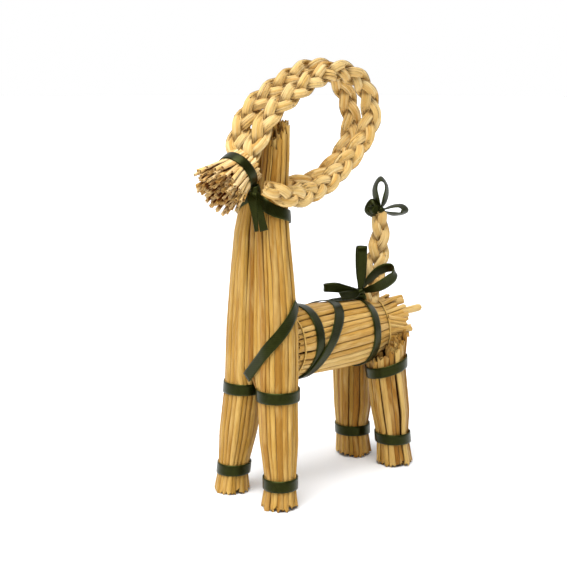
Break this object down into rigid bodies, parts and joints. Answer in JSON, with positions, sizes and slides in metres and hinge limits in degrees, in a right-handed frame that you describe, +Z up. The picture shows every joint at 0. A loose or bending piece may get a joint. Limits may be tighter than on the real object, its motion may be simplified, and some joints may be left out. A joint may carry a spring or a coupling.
{
  "type": "straw goat ornament",
  "caption": "Standing goat of bound straw bundles with long plaited horns looping over the back, a plaited tail, and ties and bows of dark green satin ribbon.",
  "frame": {"origin": "middle of the goat's box, on the ground that its feet stand on", "axes": "+Z up, the goat faces -Y, +X is the goat's left"},
  "size_m": [0.0608, 0.1692, 0.2439],
  "materials": {
    "straw": "natural rye straw, softly glossy",
    "plaited_straw": "soaked, flattened and plaited rye straw",
    "ribbon": "dark green satin ribbon",
    "thread": "straw-coloured raffia thread"
  },
  "bodies": {
    "root": {"neck_and_front_legs": "straw", "body_bundle": "straw", "rear_left_leg": "straw", "rear_right_leg": "straw", "muzzle_bundle": "straw", "left_horn_plait": "plaited_straw", "right_horn_plait": "plaited_straw", "tail_plait": "plaited_straw", "front_left_ankle_ribbon": "ribbon", "front_left_knee_ribbon": "ribbon", "front_right_ankle_ribbon": "ribbon", "front_right_knee_ribbon": "ribbon", "rear_left_ankle_ribbon": "ribbon", "rear_left_top_ribbon": "ribbon", "rear_right_ankle_ribbon": "ribbon", "rear_right_top_ribbon": "ribbon", "body_front_ribbon": "ribbon", "body_slant_ribbon": "ribbon", "rear_body_ribbon": "ribbon", "chest_ribbon": "ribbon", "neck_ribbon": "ribbon", "muzzle_ribbon": "ribbon", "rump_bow": "ribbon", "tail_bow": "ribbon", "body_front_thread": "thread", "body_rear_thread": "thread"}
  },
  "joints": []
}
